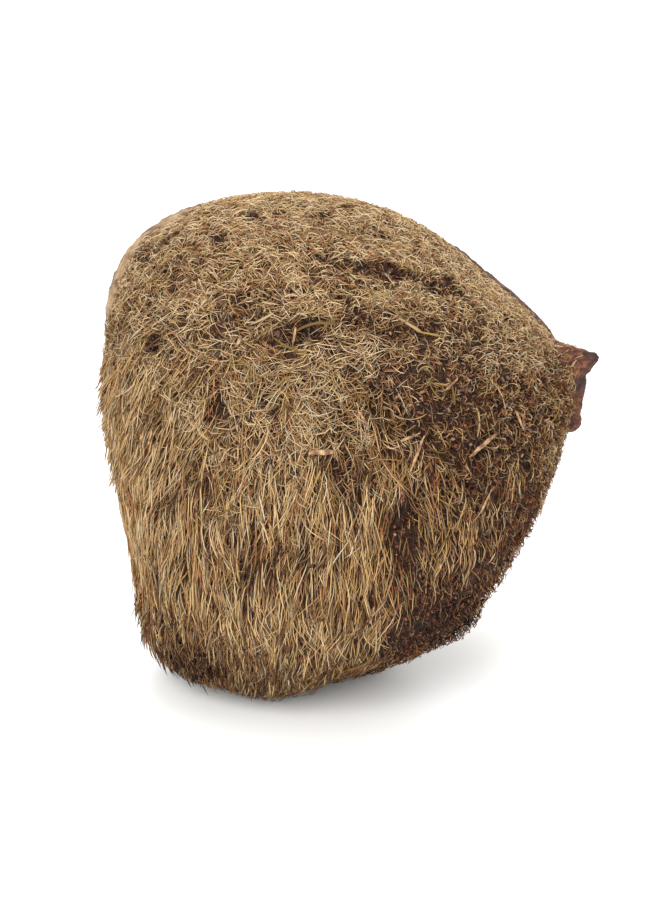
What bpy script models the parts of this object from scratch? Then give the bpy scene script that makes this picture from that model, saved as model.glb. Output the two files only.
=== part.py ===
"""A weathered coconut in its fibrous husk: one grown piece that stands on a worn flat spot.

The husk is a plump, lopsided body. Its outline, seen from the front, is a closed curve through a few
named knots, and the front and back bulge out of that outline as two domes of different depth. A short
woody beak stands on the upper right of the outline, with a lip of bare shell that runs down from it.
X runs to the beak's side, Y to the back and Z up. The finished piece stands with the middle of its
bounding box over the origin. Sizes are in metres and angles in degrees.
"""

import math

import bmesh
import bpy
from mathutils import Matrix, Vector

# Driving sizes of the husk.
HUSK_WIDTH = 0.1095  # side to side, without the beak
HUSK_HEIGHT = 0.1225  # bottom to crown, before the underside is worn flat
FRONT_BULGE = 0.047  # from the outline's plane to the front of the husk
BACK_BULGE = 0.042  # from the outline's plane to the back of the husk
WORN_DEPTH = 0.0026  # how much of the underside is worn away to a flat spot
WORN_RIM_STEP = 0.0008  # points of the flat spot's rim that are closer than this become one

# The outline's knots, anticlockwise from the nose, as shares of half the width and half the height.
OUTLINE_KNOTS = {
    "nose": (1.00, 0.20),
    "under_nose": (0.82, -0.34),
    "chin": (0.50, -0.72),
    "belly": (0.12, -0.96),
    "underside": (-0.36, -1.00),
    "heel": (-0.79, -0.83),
    "waist": (-0.92, -0.35),
    "left_flank": (-1.00, 0.22),
    "shoulder": (-0.92, 0.70),
    "upper_left": (-0.66, 0.93),
    "crown": (-0.22, 1.00),
    "upper_right": (0.28, 0.89),
    "slope": (0.68, 0.65),
    "beak_root": (0.94, 0.41),
}
STEPS_PER_KNOT = 5  # points of the outline from one knot to the next
DOME_RINGS = 17  # rings from the outline to the middle of the front, and the same to the back
EDGE_FULLNESS = 0.86  # 1 is an ellipse in section; less is squarer and fuller near the outline
ROUNDING_OFF = 0.75  # how far the rings give up the outline's corners by the middle of a dome, 0 to 1

# Broad swellings of the husk: how high they stand, and how many fit round the husk and across it.
SWELLING_HEIGHT = 0.0007
SWELLINGS_ROUND = 5
SWELLINGS_ACROSS = 3
SWELLINGS_TURNED = 57.0  # degrees round the husk
SWELLINGS_SHIFTED = 29.0  # degrees across it

# The woody beak, a blunt cone with its root sunk in the husk.
BEAK_LENGTH = 0.0150  # root to tip
BEAK_STANDS_OUT = 0.0078  # how much of that length is outside the outline
BEAK_DROP = 0.30  # where it stands between the knots beak_root and nose, 0 to 1
BEAK_ROOT_RADIUS = 0.0082
BEAK_TIP_RADIUS = 0.0012
BEAK_TILT = 8.0  # how far its axis points above the horizontal
BEAK_SIDES = 24
BEAK_TIP_ROUNDING = 0.0008

# The lip of bare shell: a rounded rib that follows the outline down from the beak to a small knob.
LIP_RADIUS = 0.0026
LIP_SINK = 0.0012  # how far the rib's middle lies inside the outline
LIP_STEPS = (2, 6)  # the outline's points it runs between, counted on from the knot beak_root
LIP_SIDES = 4  # bevel resolution of the rib
KNOB_RADIUS = 0.0033

HUSK_BROWN = (0.26, 0.165, 0.10)  # linear red, green and blue
HUSK_ROUGHNESS = 0.9


def clear_scene():
    for obj in list(bpy.data.objects):
        bpy.data.objects.remove(obj)


def between(knots, share):
    """A point on the smooth curve from the second knot to the third, by their neighbours (Catmull-Rom)."""
    before, start, end, after = knots
    slope_in = (end - before) / 2
    slope_out = (after - start) / 2
    s2, s3 = share**2, share**3
    return (
        start * (2 * s3 - 3 * s2 + 1)
        + slope_in * (s3 - 2 * s2 + share)
        + end * (3 * s2 - 2 * s3)
        + slope_out * (s3 - s2)
    )


def outline():
    """The husk's outline as (x, z) points round its middle, STEPS_PER_KNOT to each knot."""
    half = (HUSK_WIDTH / 2, HUSK_HEIGHT / 2)
    knots = [Vector((x * half[0], z * half[1])) for x, z in OUTLINE_KNOTS.values()]
    points = []
    for i in range(len(knots)):
        around = [knots[(i + k) % len(knots)] for k in (-1, 0, 1, 2)]
        points += [between(around, step / STEPS_PER_KNOT) for step in range(STEPS_PER_KNOT)]
    return points


def knot_index(name):
    """Where a named knot lies in the list that outline() gives."""
    return list(OUTLINE_KNOTS).index(name) * STEPS_PER_KNOT


def on_ellipse(point):
    """The point in the same direction on the ellipse that is as wide and as high as the husk."""
    reach = math.hypot(point.x / HUSK_WIDTH, point.y / HUSK_HEIGHT) * 2
    return point / reach


def swelling(x, z, rise):
    """How far the husk swells out there. rise is the latitude, from -90 at the back to 90 at the front."""
    around = math.sin(SWELLINGS_ROUND * math.atan2(z, x) + math.radians(SWELLINGS_TURNED))
    across = math.cos(math.radians(SWELLINGS_ACROSS * rise + SWELLINGS_SHIFTED))
    return SWELLING_HEIGHT * around * across * math.cos(math.radians(rise))


def dome_ring(bm, points, rise):
    """One ring of the husk, parallel to its outline. A positive rise lies in front, at negative Y."""
    angle = math.radians(rise)
    size = math.cos(angle) ** EDGE_FULLNESS
    bulge = FRONT_BULGE if rise > 0 else BACK_BULGE
    depth = -bulge * math.sin(angle)
    ring = []
    for point in points:
        evened = point.lerp(on_ellipse(point), ROUNDING_OFF * math.sin(angle) ** 2)
        at = evened * size * (1 + swelling(point.x, point.y, rise) / point.length)
        ring.append(bm.verts.new((at.x, depth, at.y)))
    return ring


def join_rings(bm, first, second):
    count = len(first)
    for i in range(count):
        after = (i + 1) % count
        bm.faces.new((first[i], first[after], second[after], second[i]))


def close_dome(bm, ring, depth):
    """Closes a dome with a fan of triangles round its middle point."""
    middle = bm.verts.new((0, depth, 0))
    for i, vert in enumerate(ring):
        bm.faces.new((vert, ring[(i + 1) % len(ring)], middle))


def wear_flat(bm):
    """Cuts the underside level, so that the husk has a flat spot to stand on."""
    floor = min(vert.co.z for vert in bm.verts) + WORN_DEPTH
    everything = bm.verts[:] + bm.edges[:] + bm.faces[:]
    cut = bmesh.ops.bisect_plane(
        bm, geom=everything, plane_co=(0, 0, floor), plane_no=(0, 0, 1), clear_inner=True
    )
    rim = [part for part in cut["geom_cut"] if isinstance(part, bmesh.types.BMVert)]
    bmesh.ops.remove_doubles(bm, verts=rim, dist=WORN_RIM_STEP)
    bmesh.ops.contextual_create(bm, geom=[edge for edge in bm.edges if edge.is_boundary])


def build_husk(material):
    """The husk's body, without the beak."""
    bm = bmesh.new()
    points = outline()
    step = 90 / (DOME_RINGS + 1)
    rises = [step * i for i in range(-DOME_RINGS, DOME_RINGS + 1)]
    rings = [dome_ring(bm, points, rise) for rise in rises]
    for back, front in zip(rings, rings[1:]):
        join_rings(bm, back, front)
    close_dome(bm, rings[0], BACK_BULGE)
    close_dome(bm, rings[-1], -FRONT_BULGE)
    bmesh.ops.recalc_face_normals(bm, faces=bm.faces)
    wear_flat(bm)
    bmesh.ops.recalc_face_normals(bm, faces=bm.faces)
    mesh = bpy.data.meshes.new("coconut")
    bm.to_mesh(mesh)
    bm.free()
    mesh.materials.append(material)
    husk = bpy.data.objects.new("coconut", mesh)
    bpy.context.scene.collection.objects.link(husk)
    return husk


def as_helper(obj):
    """Leaves a shape out of the finished piece, because it is only there to be joined to the husk."""
    obj.hide_render = True
    obj.display_type = "WIRE"
    return obj


def build_beak():
    """The beak's cone, with its axis along BEAK_TILT and its tip rounded."""
    bm = bmesh.new()
    bmesh.ops.create_cone(
        bm,
        cap_ends=True,
        segments=BEAK_SIDES,
        radius1=BEAK_ROOT_RADIUS,
        radius2=BEAK_TIP_RADIUS,
        depth=BEAK_LENGTH,
    )
    tip_edges = [e for e in bm.edges if all(v.co.z > 0 for v in e.verts)]
    bmesh.ops.bevel(
        bm, geom=tip_edges, offset=BEAK_TIP_ROUNDING, segments=2, profile=0.5, affect="EDGES"
    )
    mesh = bpy.data.meshes.new("beak_form")
    bm.to_mesh(mesh)
    bm.free()
    beak = bpy.data.objects.new("beak_form", mesh)
    bpy.context.scene.collection.objects.link(beak)
    points = outline()
    root = points[knot_index("beak_root")].lerp(points[knot_index("nose")], BEAK_DROP)
    tilt = math.radians(BEAK_TILT)
    axis = Vector((math.cos(tilt), 0, math.sin(tilt)))
    middle = Vector((root.x, 0, root.y)) + axis * (BEAK_STANDS_OUT - BEAK_LENGTH / 2)
    beak.matrix_world = Matrix.Translation(middle) @ axis.to_track_quat("Z", "Y").to_matrix().to_4x4()
    return as_helper(beak)


def lip_path():
    """Points of the lip's middle line, from under the beak to a little below the nose."""
    points = outline()
    path = []
    for step in range(LIP_STEPS[0], LIP_STEPS[1] + 1):
        at = points[(knot_index("beak_root") + step) % len(points)]
        at = at * (1 - LIP_SINK / at.length)
        path.append(Vector((at.x, 0, at.y)))
    return path


def build_lip():
    """The rounded rib along the outline, as a closed tube."""
    path = lip_path()
    curve = bpy.data.curves.new("lip_form", "CURVE")
    curve.dimensions = "3D"
    curve.bevel_depth = LIP_RADIUS
    curve.bevel_resolution = LIP_SIDES
    curve.use_fill_caps = True
    spline = curve.splines.new("POLY")
    spline.points.add(len(path) - 1)
    for point, at in zip(spline.points, path):
        point.co = (*at, 1)
    drawn = bpy.data.objects.new("lip_line", curve)
    bpy.context.scene.collection.objects.link(drawn)
    bpy.context.view_layer.update()
    graph = bpy.context.evaluated_depsgraph_get()
    mesh = bpy.data.meshes.new_from_object(drawn.evaluated_get(graph))
    bpy.data.objects.remove(drawn)
    bm = bmesh.new()
    bm.from_mesh(mesh)
    bmesh.ops.remove_doubles(bm, verts=bm.verts, dist=1e-6)
    bmesh.ops.recalc_face_normals(bm, faces=bm.faces)
    bm.to_mesh(mesh)
    bm.free()
    lip = bpy.data.objects.new("lip_form", mesh)
    bpy.context.scene.collection.objects.link(lip)
    return as_helper(lip)


def build_knob():
    """The knob at the lower end of the lip."""
    bm = bmesh.new()
    bmesh.ops.create_icosphere(bm, subdivisions=2, radius=KNOB_RADIUS)
    mesh = bpy.data.meshes.new("knob_form")
    bm.to_mesh(mesh)
    bm.free()
    knob = bpy.data.objects.new("knob_form", mesh)
    bpy.context.scene.collection.objects.link(knob)
    knob.location = lip_path()[-1]
    return as_helper(knob)


def join(husk, shape):
    """Joins a shape to the husk, and lets it follow the husk when the husk is set down."""
    shape.parent = husk
    union = husk.modifiers.new("join_" + shape.name, "BOOLEAN")
    union.operation = "UNION"
    union.object = shape


def set_down(husk):
    """Moves the husk so that the middle of its bounding box is over the origin and it stands on Z = 0."""
    bpy.context.view_layer.update()
    solid = husk.evaluated_get(bpy.context.evaluated_depsgraph_get()).to_mesh()
    corners = [vert.co for vert in solid.vertices]
    low = Vector([min(co[axis] for co in corners) for axis in range(3)])
    high = Vector([max(co[axis] for co in corners) for axis in range(3)])
    husk.location = (-(low.x + high.x) / 2, -(low.y + high.y) / 2, -low.z)


def husk_material():
    material = bpy.data.materials.new("coir_husk")
    material.use_nodes = True
    shader = material.node_tree.nodes["Principled BSDF"]
    shader.inputs["Base Color"].default_value = (*HUSK_BROWN, 1)
    shader.inputs["Roughness"].default_value = HUSK_ROUGHNESS
    shader.inputs["Metallic"].default_value = 0.0
    return material


def main():
    clear_scene()
    husk = build_husk(husk_material())
    for shape in (build_beak(), build_lip(), build_knob()):
        join(husk, shape)
    husk.data.shade_smooth()
    set_down(husk)


main()
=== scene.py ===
"""The looks of a weathered coconut: a mat of pith, a coat of coir fibres combed down over it, a felted crown,
a woody beak with a lip of bare shell, and the straws, splinters and crumbs caught in the coat.

The coat is worked out in millimetres from the floor under the husk's middle, with X to the beak's side, Y to
the back and Z up. A mesh is turned to metres when it is made.
"""

import itertools
import math

import bmesh
import bpy
import numpy as np
from mathutils import Matrix, Vector
from mathutils.bvhtree import BVHTree
from mathutils.kdtree import KDTree

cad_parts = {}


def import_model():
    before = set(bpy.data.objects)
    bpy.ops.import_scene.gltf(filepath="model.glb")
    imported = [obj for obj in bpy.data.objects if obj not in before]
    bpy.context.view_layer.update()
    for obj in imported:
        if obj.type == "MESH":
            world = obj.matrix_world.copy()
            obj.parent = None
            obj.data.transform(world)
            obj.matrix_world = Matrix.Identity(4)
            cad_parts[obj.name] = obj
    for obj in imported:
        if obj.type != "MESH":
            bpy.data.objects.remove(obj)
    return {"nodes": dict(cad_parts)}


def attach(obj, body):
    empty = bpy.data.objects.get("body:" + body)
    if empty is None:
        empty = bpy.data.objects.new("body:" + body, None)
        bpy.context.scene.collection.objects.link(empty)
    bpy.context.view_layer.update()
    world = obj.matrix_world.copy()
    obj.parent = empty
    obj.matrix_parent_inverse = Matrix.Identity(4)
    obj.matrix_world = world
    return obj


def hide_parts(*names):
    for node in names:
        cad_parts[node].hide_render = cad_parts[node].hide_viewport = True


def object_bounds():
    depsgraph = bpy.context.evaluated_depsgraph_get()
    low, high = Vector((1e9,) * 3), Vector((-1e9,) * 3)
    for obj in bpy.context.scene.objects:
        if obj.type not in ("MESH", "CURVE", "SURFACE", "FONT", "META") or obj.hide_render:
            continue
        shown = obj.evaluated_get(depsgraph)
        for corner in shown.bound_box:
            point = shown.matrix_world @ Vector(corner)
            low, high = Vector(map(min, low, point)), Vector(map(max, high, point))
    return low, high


MM = 0.001
SEED = 11

# Camera and light.
CAMERA_RISE = 20.0  # degrees above the horizontal
CAMERA_AWAY = 0.585  # metres
CAMERA_LENS = 100.0
AIM_LEFT = 4.3 * MM  # so that the husk stands a little right of the middle of the view
AIM_DOWN = 0.9 * MM
SKY_STRENGTH = 1.0

# The ways ahead and up, as the camera looks at the husk.
AHEAD = np.array([0, math.cos(math.radians(CAMERA_RISE)), -math.sin(math.radians(CAMERA_RISE))])
UP = np.array([0, math.sin(math.radians(CAMERA_RISE)), math.cos(math.radians(CAMERA_RISE))])

# The coat's bands lie level at the sides and dip towards the front and the back.
BAND_DIP = 0.36
MAT_DEPTH = 2.0  # how far the mat lies under the coat's outside
ROOT_HEIGHT = -MAT_DEPTH - 0.3  # a fibre is rooted a little below the mat's surface
LEAST_HEIGHT = 0.35  # no fibre lies lower than this above the floor
FIBRE_SIDES = 3
PIECE_TRIANGLES = 190000  # the most that one piece of the coat may have

# The tone map has a band for each hue, with its tones across it, and a fibre takes a narrow strip of one.
HUES = 4
HUE_EDGE = 0.02
UV_STRIP = 0.004


# ---------------------------------------------------------------- materials


def linear(hex_colour):
    """An sRGB hex colour as linear red, green, blue and alpha."""
    parts = [int(hex_colour[i : i + 2], 16) / 255 for i in (1, 3, 5)]
    return tuple(c / 12.92 if c <= 0.04045 else ((c + 0.055) / 1.055) ** 2.4 for c in parts) + (1.0,)


def set_inputs(tree, node, inputs):
    """Gives each input a value, or a link from a socket or from the first output of a node."""
    for name, value in inputs.items():
        if isinstance(value, bpy.types.Node):
            value = value.outputs[0]
        if isinstance(value, bpy.types.NodeSocket):
            tree.links.new(value, node.inputs[name])
        else:
            node.inputs[name].default_value = value


def add_node(tree, kind, settings=None, inputs=None):
    """Adds a shader node with its settings and inputs."""
    node = tree.nodes.new("ShaderNode" + kind)
    for name, value in (settings or {}).items():
        if name == "stops":
            ramp = node.color_ramp
            while len(ramp.elements) < len(value):
                ramp.elements.new(1.0)
            for element, (place, colour) in zip(ramp.elements, value):
                element.position = place
                element.color = linear(colour)
        else:
            setattr(node, name, value)
    set_inputs(tree, node, inputs or {})
    return node


def new_material(name, roughness, **shader_values):
    """A material with its Principled shader, whose plain values are set on the shader itself."""
    material = bpy.data.materials.new(name)
    material.use_nodes = True
    shader = material.node_tree.nodes["Principled BSDF"]
    shader.inputs["Roughness"].default_value = roughness
    for socket, value in shader_values.items():
        shader.inputs[socket.replace("_", " ")].default_value = value
    return material, material.node_tree, shader


# Besides their own tones, the fibres of each coat come golden, rusty and bleached, dark to pale.
GOLDEN = ["#21140b", "#52381c", "#7d5d34", "#a0814f", "#bd9f72"]
RUSTY = ["#1c0e0a", "#452417", "#6b3d25", "#875638", "#a37850"]
BLEACHED = ["#241811", "#4e3b2a", "#75634b", "#9a876b", "#bba98c"]


def coir_material(name, tones, root_shade=0.45):
    """Coir, the dry hard fibre of a husk: matt, with painted shade that darkens each fibre towards its root,
    where the fibres over it would shade it. A root factor above 1 makes the tip the darker end instead.
    Across the tone map lie the tones that single fibres have, and along it the way from root to tip."""
    material, tree, shader = new_material(name, 0.85, IOR=1.5, Specular_IOR_Level=0.2)
    place = add_node(tree, "UVMap", {"uv_map": "OFBake"})
    across = add_node(tree, "SeparateXYZ", inputs={0: place})
    hues = [tones, GOLDEN, RUSTY, BLEACHED]
    steps = [
        ((number + HUE_EDGE + (1 - 2 * HUE_EDGE) * k / (len(hue) - 1)) / HUES, tone)
        for number, hue in enumerate(hues)
        for k, tone in enumerate(hue)
    ]
    tone = add_node(tree, "ValToRGB", {"stops": steps}, {0: across.outputs["X"]})
    # Painted shade: the tone is darkened towards the root by the root factor.
    grow = add_node(
        tree,
        "MapRange",
        {"interpolation_type": "SMOOTHSTEP"},
        {0: across.outputs["Y"], 1: 0.0, 2: 0.38, 3: root_shade, 4: 1.0},
    )
    shade = add_node(tree, "VectorMath", {"operation": "SCALE"}, {0: tone, "Scale": grow})
    set_inputs(tree, shader, {"Base Color": shade})
    return material


def splinter_material():
    """Dry husk wood, freshly split: satin, pale where it has broken, and streaked at its grain's width."""
    material, tree, shader = new_material("split_husk_wood", 0.6, IOR=1.45)
    place = add_node(tree, "TexCoord").outputs["Object"]
    streaks = add_node(tree, "TexNoise", inputs={"Vector": place, "Scale": 1 / (1.2 * MM), "Detail": 4.0})
    colour = add_node(
        tree, "ValToRGB", {"stops": [(0.30, "#4a2f22"), (0.50, "#84603f"), (0.70, "#b1946c")]}, {0: streaks}
    )
    bump = add_node(tree, "Bump", inputs={"Strength": 0.6, "Distance": 0.2 * MM, "Height": streaks})
    set_inputs(tree, shader, {"Base Color": colour, "Normal": bump})
    return material


def pith_material():
    """Pith and coir dust, the cork-like stuff that the fibres grow in: dull and dark brown, made darker also
    as painted shade deep between the fibres. The finest fibres, too thin to be modelled one by one, are drawn
    in it as streaks that run up and down."""
    material, tree, shader = new_material("pith_and_coir_dust", 0.95, IOR=1.4)
    place = add_node(tree, "TexCoord").outputs["Object"]
    along = add_node(tree, "Mapping", inputs={"Vector": place, "Scale": (1.0, 1.0, 0.16)})
    stain = add_node(tree, "TexNoise", inputs={"Vector": place, "Scale": 1 / (9 * MM), "Detail": 4.0})
    crumb = add_node(
        tree, "TexNoise", inputs={"Vector": place, "Scale": 1 / (1.1 * MM), "Detail": 5.0, "Roughness": 0.65}
    )
    streak = add_node(
        tree,
        "TexNoise",
        inputs={"Vector": along, "Scale": 1 / (0.55 * MM), "Detail": 3.0, "Distortion": 0.8},
    )
    mixed = add_node(tree, "Math", {"operation": "MULTIPLY_ADD"}, {0: stain, 1: 0.5, 2: crumb})
    mixed = add_node(tree, "Math", {"operation": "MULTIPLY_ADD"}, {0: streak, 1: 0.8, 2: mixed})
    halved = add_node(tree, "Math", {"operation": "MULTIPLY"}, {0: mixed, 1: 0.5})
    # The dark stops are partly the pith's own brown and partly painted shade between the fibres.
    brown = add_node(
        tree, "ValToRGB", {"stops": [(0.50, "#21140f"), (0.62, "#43291c"), (0.76, "#6e4b30")]}, {0: halved}
    )
    bump = add_node(tree, "Bump", inputs={"Strength": 1.0, "Distance": 0.6 * MM, "Height": mixed})
    set_inputs(tree, shader, {"Base Color": brown, "Normal": bump})
    return material


def shell_material(tip):
    """Bare husk wood, worn smooth: red-brown with long grain, and almost black where it has rubbed, at the
    tip (given in metres), and as painted shade in a ragged band just below it."""
    material, tree, shader = new_material("worn_husk_wood", 0.7, IOR=1.45, Specular_IOR_Level=0.3)
    place = add_node(tree, "TexCoord").outputs["Object"]
    along = add_node(tree, "Mapping", inputs={"Vector": place, "Scale": (0.35, 1.0, 1.0)})
    grain = add_node(
        tree,
        "TexNoise",
        inputs={"Vector": along, "Scale": 1 / (0.9 * MM), "Detail": 5.0, "Distortion": 0.6},
    )
    wood = add_node(
        tree, "ValToRGB", {"stops": [(0.30, "#231411"), (0.47, "#4c2b1f"), (0.66, "#744a31")]}, {0: grain}
    )
    from_tip = add_node(tree, "VectorMath", {"operation": "DISTANCE"}, {0: place, 1: tuple(tip)})
    rubbed = add_node(
        tree, "MapRange", inputs={0: from_tip.outputs["Value"], 1: 1.0 * MM, 2: 4.2 * MM, 3: 0.9, 4: 0.0}
    )
    height = add_node(tree, "SeparateXYZ", inputs={0: place})
    blotch = add_node(tree, "TexNoise", inputs={"Vector": place, "Scale": 1 / (2.4 * MM), "Detail": 3.0})
    edge = add_node(
        tree, "Math", {"operation": "MULTIPLY_ADD"}, {0: blotch, 1: 6.0 * MM, 2: height.outputs["Z"]}
    )
    # Painted shade: a ragged dark band just under the tip, fading out down the lip.
    under = add_node(
        tree, "MapRange", inputs={0: edge, 1: tip[2] - 1.5 * MM, 2: tip[2] + 1.2 * MM, 3: 0.8, 4: 0.0}
    )
    lip = add_node(
        tree, "MapRange", inputs={0: edge, 1: tip[2] - 5.5 * MM, 2: tip[2] - 3.0 * MM, 3: 0.15, 4: 1.0}
    )
    under = add_node(tree, "Math", {"operation": "MULTIPLY"}, {0: under, 1: lip})
    dark = add_node(tree, "Math", {"operation": "MAXIMUM"}, {0: rubbed, 1: under})
    both = add_node(tree, "Mix", {"data_type": "RGBA"}, {"Factor": dark, 6: wood, 7: linear("#261a1a")})
    bump = add_node(tree, "Bump", inputs={"Strength": 0.6, "Distance": 0.3 * MM, "Height": grain})
    set_inputs(tree, shader, {"Base Color": both.outputs[2], "Normal": bump})
    return material


def skin_material():
    """What is left of the husk's dried skin: thin, smooth and tan, browner and redder towards the beak."""
    material, tree, shader = new_material("dried_husk_skin", 0.55, IOR=1.45)
    place = add_node(tree, "TexCoord").outputs["Object"]
    along = add_node(tree, "Mapping", inputs={"Vector": place, "Scale": (0.3, 1.0, 0.6)})
    streaks = add_node(
        tree,
        "TexNoise",
        inputs={"Vector": along, "Scale": 1 / (1.4 * MM), "Detail": 6.0, "Roughness": 0.65},
    )
    tan = add_node(
        tree, "ValToRGB", {"stops": [(0.34, "#4f3b2a"), (0.50, "#886c4c"), (0.66, "#b0956f")]}, {0: streaks}
    )
    brown = add_node(
        tree, "ValToRGB", {"stops": [(0.32, "#281b18"), (0.50, "#493228"), (0.70, "#6e513b")]}, {0: streaks}
    )
    side = add_node(tree, "SeparateXYZ", inputs={0: place})
    share = add_node(tree, "MapRange", inputs={0: side.outputs["X"], 1: -45 * MM, 2: 15 * MM})
    both = add_node(tree, "Mix", {"data_type": "RGBA"}, {"Factor": share, 6: tan, 7: brown})
    bump = add_node(tree, "Bump", inputs={"Strength": 0.5, "Distance": 0.25 * MM, "Height": streaks})
    set_inputs(tree, shader, {"Base Color": both.outputs[2], "Normal": bump})
    return material


def floor_material():
    """Matt white board: plain and pale, so that the husk's own colours show."""
    material, _tree, shader = new_material("matt_white_board", 0.8)
    shader.inputs["Base Color"].default_value = linear("#f4f4f2")
    return material


# ---------------------------------------------------------------- modelling by hand


def deselect_all():
    bpy.ops.object.select_all(action="DESELECT")


def select_only(obj):
    deselect_all()
    bpy.context.view_layer.objects.active = obj
    obj.select_set(True)


def edit(obj):
    """Opens one object in edit mode with nothing else selected."""
    select_only(obj)
    bpy.ops.object.mode_set(mode="EDIT")


def done():
    bpy.ops.object.mode_set(mode="OBJECT")


def pick(obj, chosen, kind="VERT"):
    """Selects, in edit mode, the vertices, edges or faces that chosen accepts, and nothing else."""
    bpy.ops.mesh.select_mode(type=kind)
    bpy.ops.mesh.select_all(action="DESELECT")
    bm = bmesh.from_edit_mesh(obj.data)
    for part in {"VERT": bm.verts, "EDGE": bm.edges, "FACE": bm.faces}[kind]:
        if chosen(part):
            part.select_set(True)
    bmesh.update_edit_mesh(obj.data)


def apply_all(obj):
    """Applies every modifier, in order."""
    select_only(obj)
    for modifier in list(obj.modifiers):
        bpy.ops.object.modifier_apply(modifier=modifier.name)


def settle(obj):
    """Puts an object's place, turn and size into its mesh."""
    select_only(obj)
    bpy.ops.object.transform_apply(location=True, rotation=True, scale=True)


def join(pieces):
    """Makes several objects one, under the name of the first."""
    deselect_all()
    for piece in pieces:
        piece.select_set(True)
    bpy.context.view_layer.objects.active = pieces[0]
    bpy.ops.object.join()


def face_outwards(obj):
    """Turns every face of a closed mesh outwards."""
    edit(obj)
    bpy.ops.mesh.select_all(action="SELECT")
    bpy.ops.mesh.normals_make_consistent(inside=False)
    done()


def corners_of(mesh):
    return np.array([v.co for v in mesh.vertices])


def remesh(obj, size):
    """Has a mesh made again as one even, closed skin."""
    even = obj.modifiers.new("even_mesh", "REMESH")
    even.mode = "VOXEL"
    even.voxel_size = size


def round_off(obj):
    finer = obj.modifiers.new("finer", "SUBSURF")
    finer.levels = 1
    finer.render_levels = 1


def roughen(obj, size, height, name):
    """Displaces a mesh by clouds of a size, so that it is lumpy and not smooth."""
    clouds = bpy.data.textures.new(name, "CLOUDS")
    clouds.noise_scale = size
    lumps = obj.modifiers.new(name, "DISPLACE")
    lumps.texture = clouds
    lumps.strength = height
    lumps.mid_level = 0.5


def finish_piece(obj, material):
    obj.data.materials.clear()
    obj.data.materials.append(material)
    for face in obj.data.polygons:
        face.use_smooth = True
    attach(obj, "root")


# ---------------------------------------------------------------- the husk's surface

# Hollows broken out of the coat: the middle, how far it reaches from there, and how deep it is. Where the
# depth is negative, it is a lump.
HOLLOWS = {
    "undercut": ((39, -9, 35), 11, 2.6),
    "hook": ((37.5, -10.5, 32.5), 4, -2.4),
    "notch": ((34.3, -11.5, 28.5), 6, 5.5),
    "heel": ((27, -14.5, 20.5), 10, -2.0),
    "left_step": ((-55.5, -1, 55), 10, 2.4),
    "left_low": ((-51.5, -10, 34), 13, 1.2),
    "left_toe": ((-48, -15.5, 17), 9, -1.4),
    "worn_shoulder": ((-57, 8, 84), 15, 1.8),
    "foot": ((4, -21, 3), 24, 4.8),
}


def hollow(places):
    """How much deeper the surface lies than the plain form, in millimetres."""
    depth = np.zeros(len(places))
    for centre, reach, deep in HOLLOWS.values():
        off = np.linalg.norm(places - centre, axis=1) / reach
        depth += deep * ease(off, 1.0, 0.2)
    return depth


def unit(vectors):
    return vectors / np.maximum(np.linalg.norm(vectors, axis=1, keepdims=True), 1e-9)


def dot(a, b):
    return np.sum(a * b, axis=1, keepdims=True)


class Husk:
    """The husk's outside, as its reach from its middle in every direction, in millimetres."""

    ROWS, COLUMNS = 120, 240

    def __init__(self, node):
        mesh = node.data
        mesh.calc_loop_triangles()
        self.corners = corners_of(mesh) / MM
        self.faces = np.array([t.vertices[:] for t in mesh.loop_triangles])
        self.middle = (self.corners.min(0) + self.corners.max(0)) / 2
        self.tree = BVHTree.FromPolygons(self.corners.tolist(), self.faces.tolist())
        self.table = np.zeros((self.ROWS + 1, self.COLUMNS))
        for row, column in itertools.product(range(self.ROWS + 1), range(self.COLUMNS)):
            fall, round_z = math.pi * row / self.ROWS, 2 * math.pi * column / self.COLUMNS
            way = (math.sin(fall) * math.cos(round_z), math.sin(fall) * math.sin(round_z), math.cos(fall))
            self.table[row, column] = self.tree.ray_cast(Vector(self.middle), Vector(way))[3]
            place = self.middle + self.table[row, column] * np.array(way)
            self.table[row, column] -= hollow(place[None])[0]

    def snap(self, places):
        """The places moved out or in to the surface."""
        way = unit(places - self.middle)
        row = np.arccos(np.clip(way[:, 2], -1, 1)) / math.pi * self.ROWS
        column = (np.arctan2(way[:, 1], way[:, 0]) / (2 * math.pi) % 1.0) * self.COLUMNS
        r0 = np.clip(row.astype(int), 0, self.ROWS - 1)
        c0 = column.astype(int) % self.COLUMNS
        down, along = (row - r0), (column - np.floor(column))
        c1 = (c0 + 1) % self.COLUMNS
        upper = self.table[r0, c0] * (1 - along) + self.table[r0, c1] * along
        lower = self.table[r0 + 1, c0] * (1 - along) + self.table[r0 + 1, c1] * along
        return self.middle + way * (upper * (1 - down) + lower * down)[:, None]

    def normal(self, places):
        """The way out of the husk at these places."""
        way = unit(places - self.middle)
        helper = np.where(np.abs(way[:, 2:]) < 0.9, [[0.0, 0.0, 1.0]], [[1.0, 0.0, 0.0]])
        side = unit(np.cross(helper, way))
        over = np.cross(way, side)
        spread = 0.035
        here = [self.snap(self.middle + way + spread * turn) for turn in (side, -side, over, -over)]
        return unit(np.cross(here[0] - here[1], here[2] - here[3]))

    def scatter(self, count, rng):
        """Places spread evenly over the surface."""
        a, b, c = (self.corners[self.faces[:, k]] for k in range(3))
        area = np.linalg.norm(np.cross(b - a, c - a), axis=1)
        chosen = rng.choice(len(area), count, p=area / area.sum())
        u, v = rng.random((2, count, 1))
        over = u + v > 1
        u = np.where(over, 1 - u, u)
        v = np.where(over, 1 - v, v)
        return a[chosen] + (b[chosen] - a[chosen]) * u + (c[chosen] - a[chosen]) * v

    def front(self, x, height):
        """The place on the front at this side distance and band height."""
        far = 200.0
        start = Vector((x, -far, height + BAND_DIP * far))
        return np.array(self.tree.ray_cast(start, Vector((0, 1, -BAND_DIP)).normalized())[0])


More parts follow.
